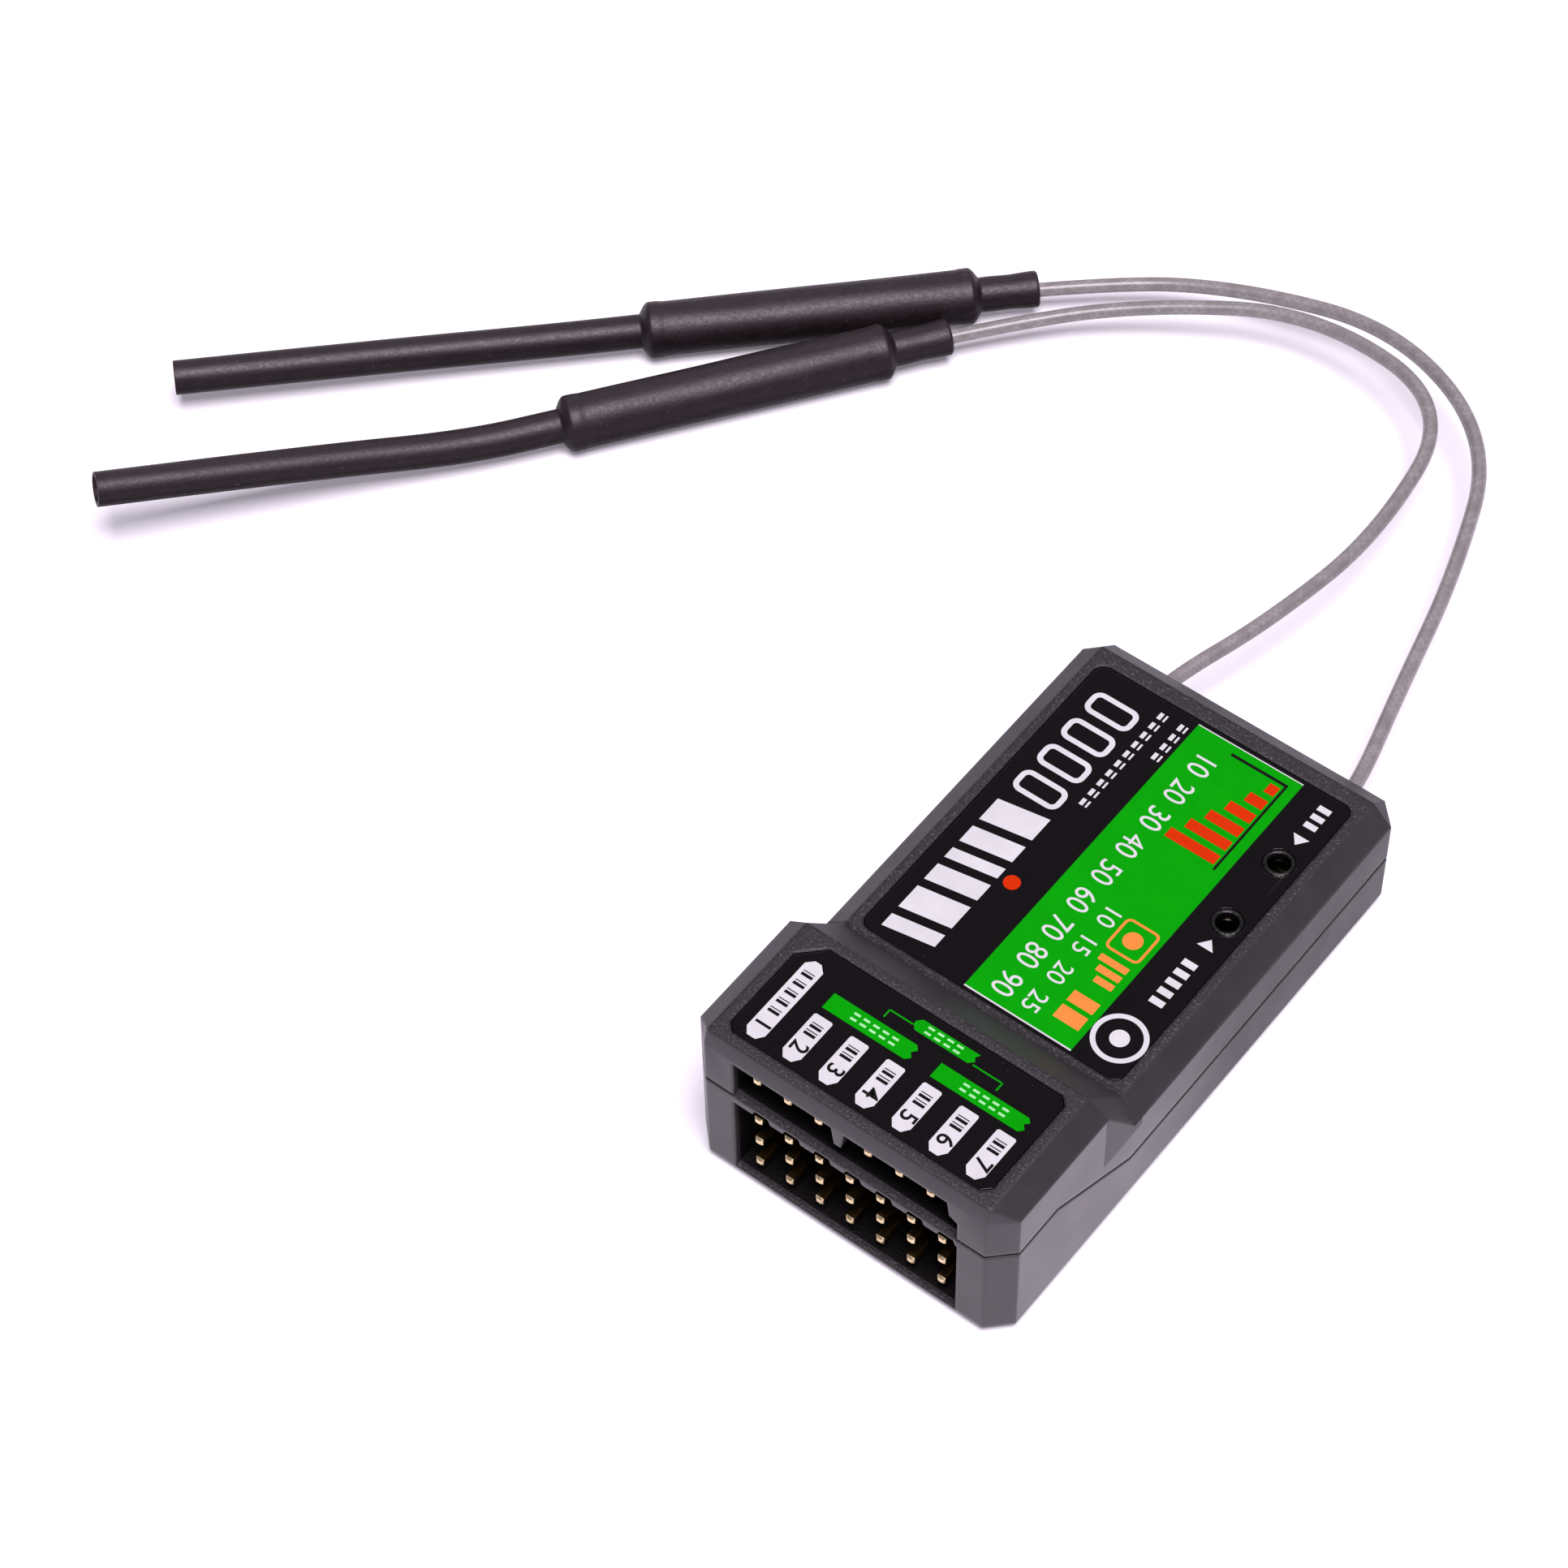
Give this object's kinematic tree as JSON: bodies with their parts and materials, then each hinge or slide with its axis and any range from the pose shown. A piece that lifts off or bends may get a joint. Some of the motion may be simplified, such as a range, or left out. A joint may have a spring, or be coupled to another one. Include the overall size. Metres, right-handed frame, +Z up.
{
  "type": "radio control receiver",
  "caption": "Moulded two part receiver case with a raised pin port end, a flat label deck and coax antennas in heat-shrink sleeves.",
  "frame": {"origin": "under the middle of the case, on the surface that it rests on", "axes": "+X across the case to the right of the port end's front view, +Y from the port end to the antenna end, +Z up"},
  "size_m": [0.1006, 0.088, 0.015],
  "materials": {
    "housing": "spark textured decks, satin walls",
    "label": "glossy printed plate",
    "board": "solder mask",
    "header": "moulded",
    "gold_pin": "gold plated",
    "tinned_sheet": "tinned",
    "chip": "moulded",
    "capacitor": "fired",
    "led_lens": "clear lens",
    "coax_jacket": "translucent jacket over silvered braid",
    "shrink_tube": "satin",
    "dipole_metal": "drawn",
    "core_plastic": "smooth"
  },
  "bodies": {
    "root": {"lower_shell": "housing", "upper_shell": "housing", "main_label": "label", "port_label": "label", "port_board": "board", "main_board": "board", "servo_header_base": "header", "bus_header_base_left": "header", "bus_header_base_right": "header", "ground_pins": "gold_pin", "power_pins": "gold_pin", "signal_pins": "gold_pin", "bus_pins_left": "gold_pin", "bus_pins_right": "gold_pin", "shield_can": "tinned_sheet", "radio_chip": "chip", "controller_chip": "chip", "crystal": "tinned_sheet", "voltage_regulator": "chip", "status_led": "led_lens", "update_pad": "gold_pin", "input_capacitor": "capacitor", "output_capacitor": "capacitor", "coax_socket_left": "gold_pin", "coax_socket_right": "gold_pin", "coax_plug_left": "gold_pin", "coax_plug_right": "gold_pin", "coax_lead_left": "coax_jacket", "coax_lead_right": "coax_jacket", "antenna_sleeve_left": "shrink_tube", "antenna_sleeve_right": "shrink_tube", "dipole_tube_left": "dipole_metal", "dipole_tube_right": "dipole_metal", "antenna_core_left": "core_plastic", "antenna_core_right": "core_plastic"}
  },
  "joints": []
}
